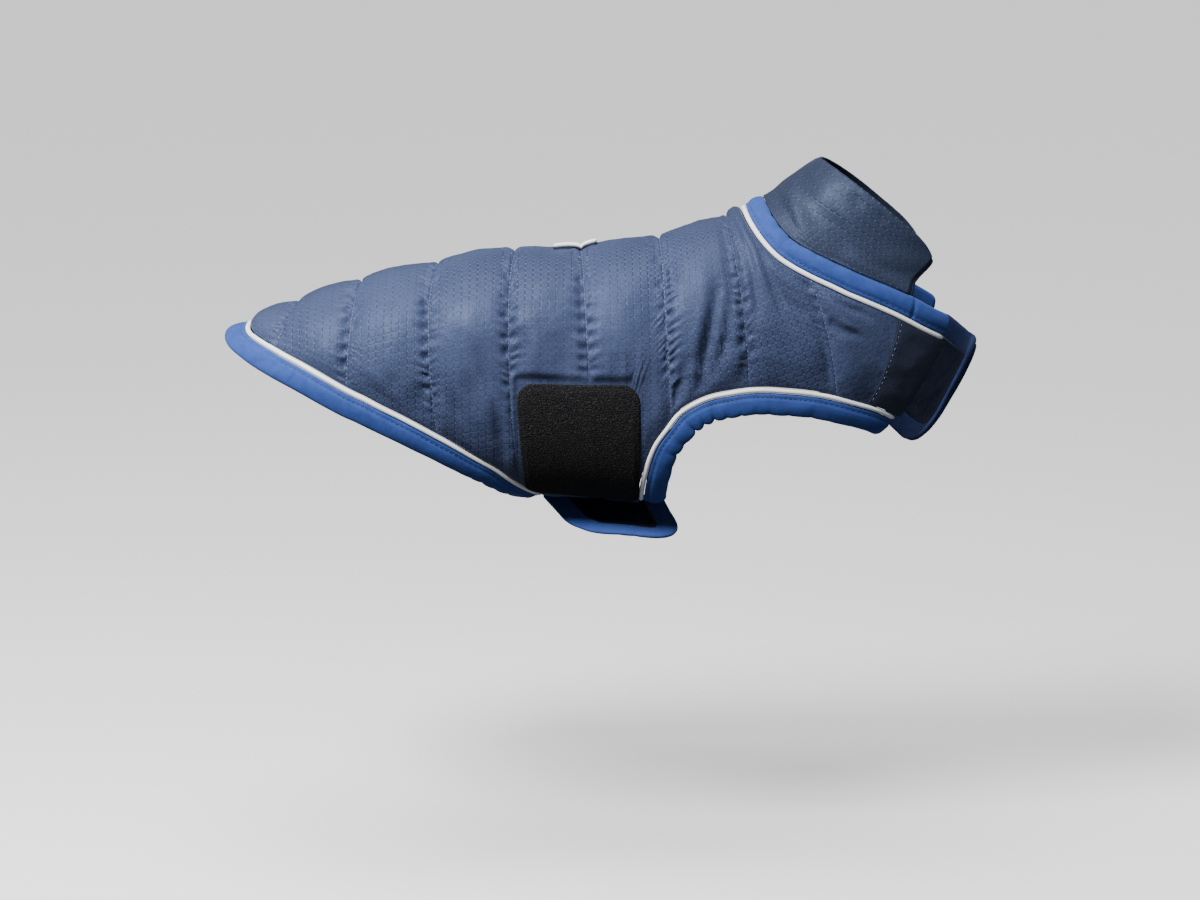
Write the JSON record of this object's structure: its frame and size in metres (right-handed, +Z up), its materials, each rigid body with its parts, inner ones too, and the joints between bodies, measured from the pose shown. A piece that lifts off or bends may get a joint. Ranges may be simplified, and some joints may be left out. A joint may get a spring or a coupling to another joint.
{
  "type": "dog winter coat",
  "caption": "Quilted winter coat for a small dog, open at the belly and chest, with a standing collar, bound edges, piping, a loop patch on the flank and a slit for a leash on the back.",
  "frame": {"origin": "on the spine, on the coat's inner face at the quilt seam above the rear edge of the loop patch", "axes": "+X toward the head along the back, +Y toward the dog's left, +Z up"},
  "size_m": [0.4828, 0.1395, 0.2423],
  "materials": {
    "quilted_navy": "satin quilted ripstop",
    "plain_navy": "satin ripstop",
    "inner_navy": "matt lining",
    "blue_binding": "matt soft binding",
    "white_piping": "reflective piping",
    "black_loop": "matt loop pile"
  },
  "bodies": {
    "root": {"back_panel": "quilted_navy", "chest_tab_right": "plain_navy", "chest_tab_left": "plain_navy", "collar": "plain_navy", "chest_flap": "inner_navy", "belly_flap": "inner_navy", "chest_flap_binding": "blue_binding", "belly_flap_binding": "blue_binding", "hem_binding": "blue_binding", "leg_binding_right": "blue_binding", "leg_binding_left": "blue_binding", "neck_binding": "blue_binding", "hem_piping": "white_piping", "leg_piping_right": "white_piping", "leg_piping_left": "white_piping", "neck_piping": "white_piping", "leash_slit_lip": "white_piping", "leash_slit_strip": "black_loop", "loop_patch": "black_loop"}
  },
  "joints": []
}
